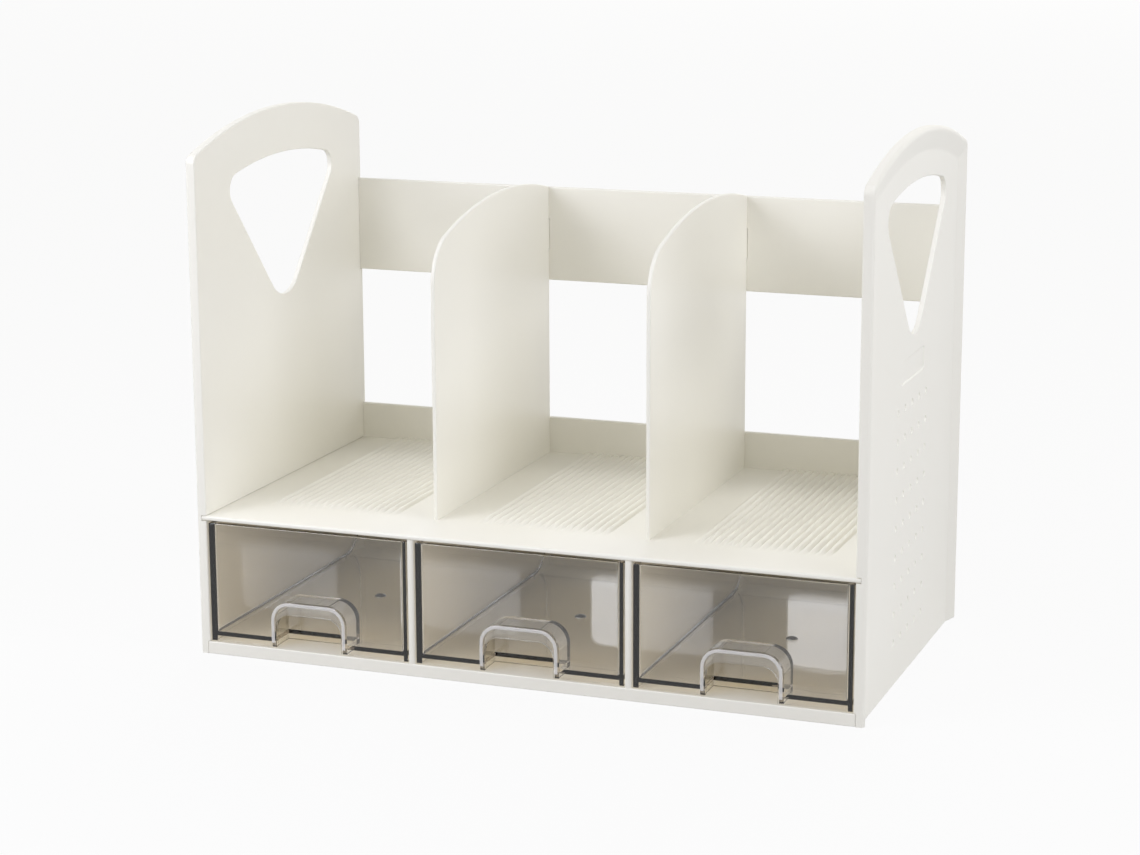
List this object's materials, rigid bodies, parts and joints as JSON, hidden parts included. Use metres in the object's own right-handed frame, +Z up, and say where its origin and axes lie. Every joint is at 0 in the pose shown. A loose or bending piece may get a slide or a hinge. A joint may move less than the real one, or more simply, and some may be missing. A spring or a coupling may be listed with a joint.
{
  "type": "desk shelf with drawers",
  "caption": "Desktop bookshelf in white moulded plastic: arched sides with handle holes, ribbed deck, book dividers and back rail, over a row of clear tinted drawers that pull out to the front",
  "frame": {"origin": "middle of the footprint, on the desk top", "axes": "+X to the right seen from the front, +Y to the back, +Z up; the drawers open along -Y"},
  "size_m": [0.34, 0.189, 0.264],
  "materials": {
    "white_plastic": "satin white injection-moulded polystyrene",
    "smoke_clear_plastic": "clear smoke-tinted polystyrene, polished, dark along its cut edges"
  },
  "bodies": {
    "housing": {"left_side_panel": "white_plastic", "right_side_panel": "white_plastic", "shelf_deck": "white_plastic", "base_board": "white_plastic", "back_panel": "white_plastic", "top_rail": "white_plastic", "left_bay_partition": "white_plastic", "right_bay_partition": "white_plastic", "left_book_divider": "white_plastic", "right_book_divider": "white_plastic"},
    "left_drawer": {"left_drawer": "smoke_clear_plastic"},
    "middle_drawer": {"middle_drawer": "smoke_clear_plastic"},
    "right_drawer": {"right_drawer": "smoke_clear_plastic"}
  },
  "joints": [
    {"name": "left_drawer_slide", "type": "slide", "parent": "housing", "child": "left_drawer", "axis": [0, -1, 0], "range_m": [0, 0.14]},
    {"name": "middle_drawer_slide", "type": "slide", "parent": "housing", "child": "middle_drawer", "axis": [0, -1, 0], "range_m": [0, 0.14]},
    {"name": "right_drawer_slide", "type": "slide", "parent": "housing", "child": "right_drawer", "axis": [0, -1, 0], "range_m": [0, 0.14]}
  ]
}
